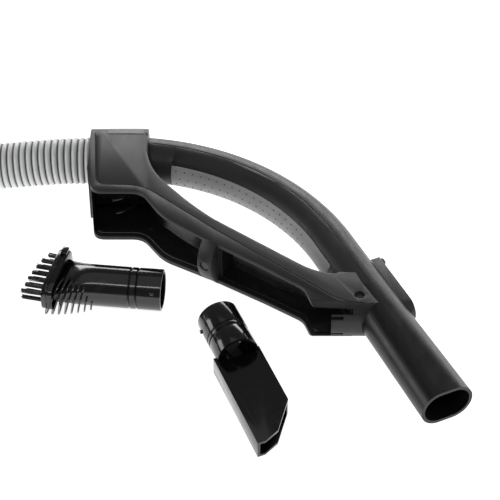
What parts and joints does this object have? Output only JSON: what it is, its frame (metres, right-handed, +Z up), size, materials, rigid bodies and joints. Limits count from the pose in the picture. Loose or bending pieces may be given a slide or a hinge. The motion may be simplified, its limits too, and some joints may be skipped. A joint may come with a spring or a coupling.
{
  "type": "vacuum cleaner hose handle",
  "caption": "Vacuum cleaner hose handle with a bent grip, suction slider and tool recesses, on a swivelling ribbed hose, beside a dusting brush and a crevice tool.",
  "frame": {"origin": "on the table, under the hose axis, in the middle of the handle's head, on the head's flat side that it lies on", "axes": "+X along the hose axis towards the grip, +Y away from the tool recesses, +Z up through the handle's flat side"},
  "size_m": [0.8355, 0.4855, 0.052],
  "materials": {
    "body": "satin charcoal moulding",
    "frame": "satin charcoal moulding",
    "liner": "glossy black",
    "strip": "satin",
    "grip": "satin charcoal moulding",
    "insert": "soft grey, dotted",
    "regulator": "satin",
    "steel": "plain steel",
    "seal": "matt black",
    "cuff": "satin black",
    "hose": "ribbed silver grey",
    "tool": "glossy black",
    "bristle": "black bristle"
  },
  "bodies": {
    "hose": {"swivel_cuff": "cuff", "hose_tube": "hose", "hose_coil": "hose", "end_cuff": "cuff", "end_connector": "cuff", "end_seal": "seal"},
    "handle": {"handle_body": "body", "tool_frame": "frame", "brush_cradle": "liner", "nozzle_cradle": "liner", "top_cover": "strip", "grip_back": "grip", "grip_front": "grip", "grip_insert": "insert", "vent_frame": "regulator", "vent_spring": "steel", "case_screws": "steel", "retaining_ring": "cuff", "swivel_seal": "seal"},
    "slider": {"vent_slider": "regulator"},
    "brush": {"brush_body": "tool", "brush_collar": "tool", "brush_tufts": "bristle"},
    "crevice": {"crevice_tool": "tool"}
  },
  "joints": [
    {"name": "handle_swivel", "type": "hinge", "parent": "hose", "child": "handle", "pos_m": [0, 0, 0.026], "axis": [-1, 0, 0], "continuous": true},
    {"name": "suction_slide", "type": "slide", "parent": "handle", "child": "slider", "axis": [-0.4226, 0.9063, 0], "range_m": [0, 0.012]},
    {"name": "brush_lift", "type": "slide", "parent": "hose", "child": "brush", "axis": [0, 0, 1], "range_m": [0, 0.06]},
    {"name": "crevice_lift", "type": "slide", "parent": "hose", "child": "crevice", "axis": [0, 0, 1], "range_m": [0, 0.06]}
  ]
}
